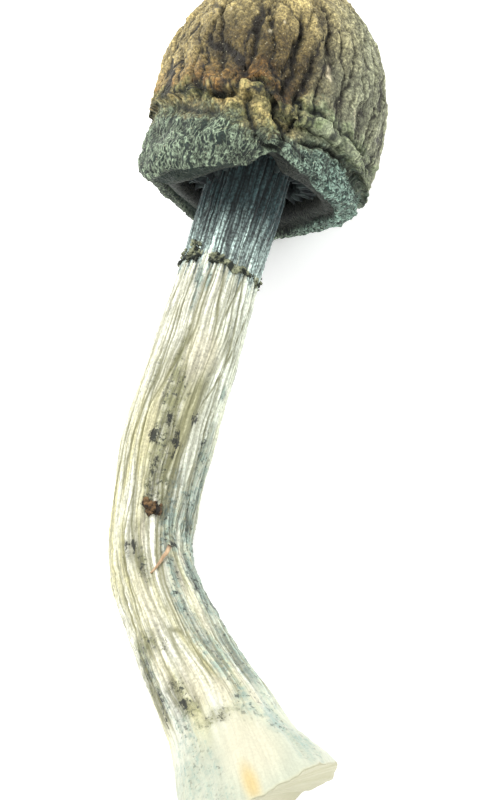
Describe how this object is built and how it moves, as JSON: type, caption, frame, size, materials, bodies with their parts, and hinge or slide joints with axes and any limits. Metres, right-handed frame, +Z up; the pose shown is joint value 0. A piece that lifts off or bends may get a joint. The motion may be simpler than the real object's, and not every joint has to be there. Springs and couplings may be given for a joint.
{
  "type": "magic mushroom",
  "caption": "Dried mushroom lying on its side, with a bell-shaped wrinkled cap, in-rolled margin, thin gills, torn veil ring and a bowed stem with a flared torn foot.",
  "frame": {"origin": "middle of the bounding box, on the surface the mushroom lies on", "axes": "+Y from the foot toward the cap, +Z up from the surface, +X toward the side the foot flares to"},
  "size_m": [0.028, 0.092, 0.0239],
  "materials": {
    "cap_skin": "dull dried skin, brown on the dome and grey-green on the margin",
    "stem_flesh": "dull dried fibres, cream with blue-grey streaks",
    "gill_tissue": "matt, blackened by spores",
    "veil_tissue": "matt torn tissue dusted with spores",
    "splinter_wood": "dry tan wood",
    "substrate_crumb": "dull brown crumb"
  },
  "bodies": {
    "root": {"cap": "cap_skin", "stem": "stem_flesh", "gill_01": "gill_tissue", "gill_02": "gill_tissue", "gill_03": "gill_tissue", "gill_04": "gill_tissue", "gill_05": "gill_tissue", "gill_06": "gill_tissue", "gill_07": "gill_tissue", "gill_08": "gill_tissue", "gill_09": "gill_tissue", "gill_10": "gill_tissue", "gill_11": "gill_tissue", "gill_12": "gill_tissue", "gill_13": "gill_tissue", "gill_14": "gill_tissue", "gill_15": "gill_tissue", "gill_16": "gill_tissue", "gill_17": "gill_tissue", "gill_18": "gill_tissue", "gill_19": "gill_tissue", "gill_20": "gill_tissue", "gill_21": "gill_tissue", "gill_22": "gill_tissue", "gill_23": "gill_tissue", "gill_24": "gill_tissue", "gill_25": "gill_tissue", "gill_26": "gill_tissue", "gill_27": "gill_tissue", "gill_28": "gill_tissue", "gill_29": "gill_tissue", "gill_30": "gill_tissue", "gill_31": "gill_tissue", "gill_32": "gill_tissue", "gill_33": "gill_tissue", "gill_34": "gill_tissue", "gill_35": "gill_tissue", "gill_36": "gill_tissue", "veil_ring": "veil_tissue", "splinter": "splinter_wood", "crumb": "substrate_crumb"}
  },
  "joints": []
}
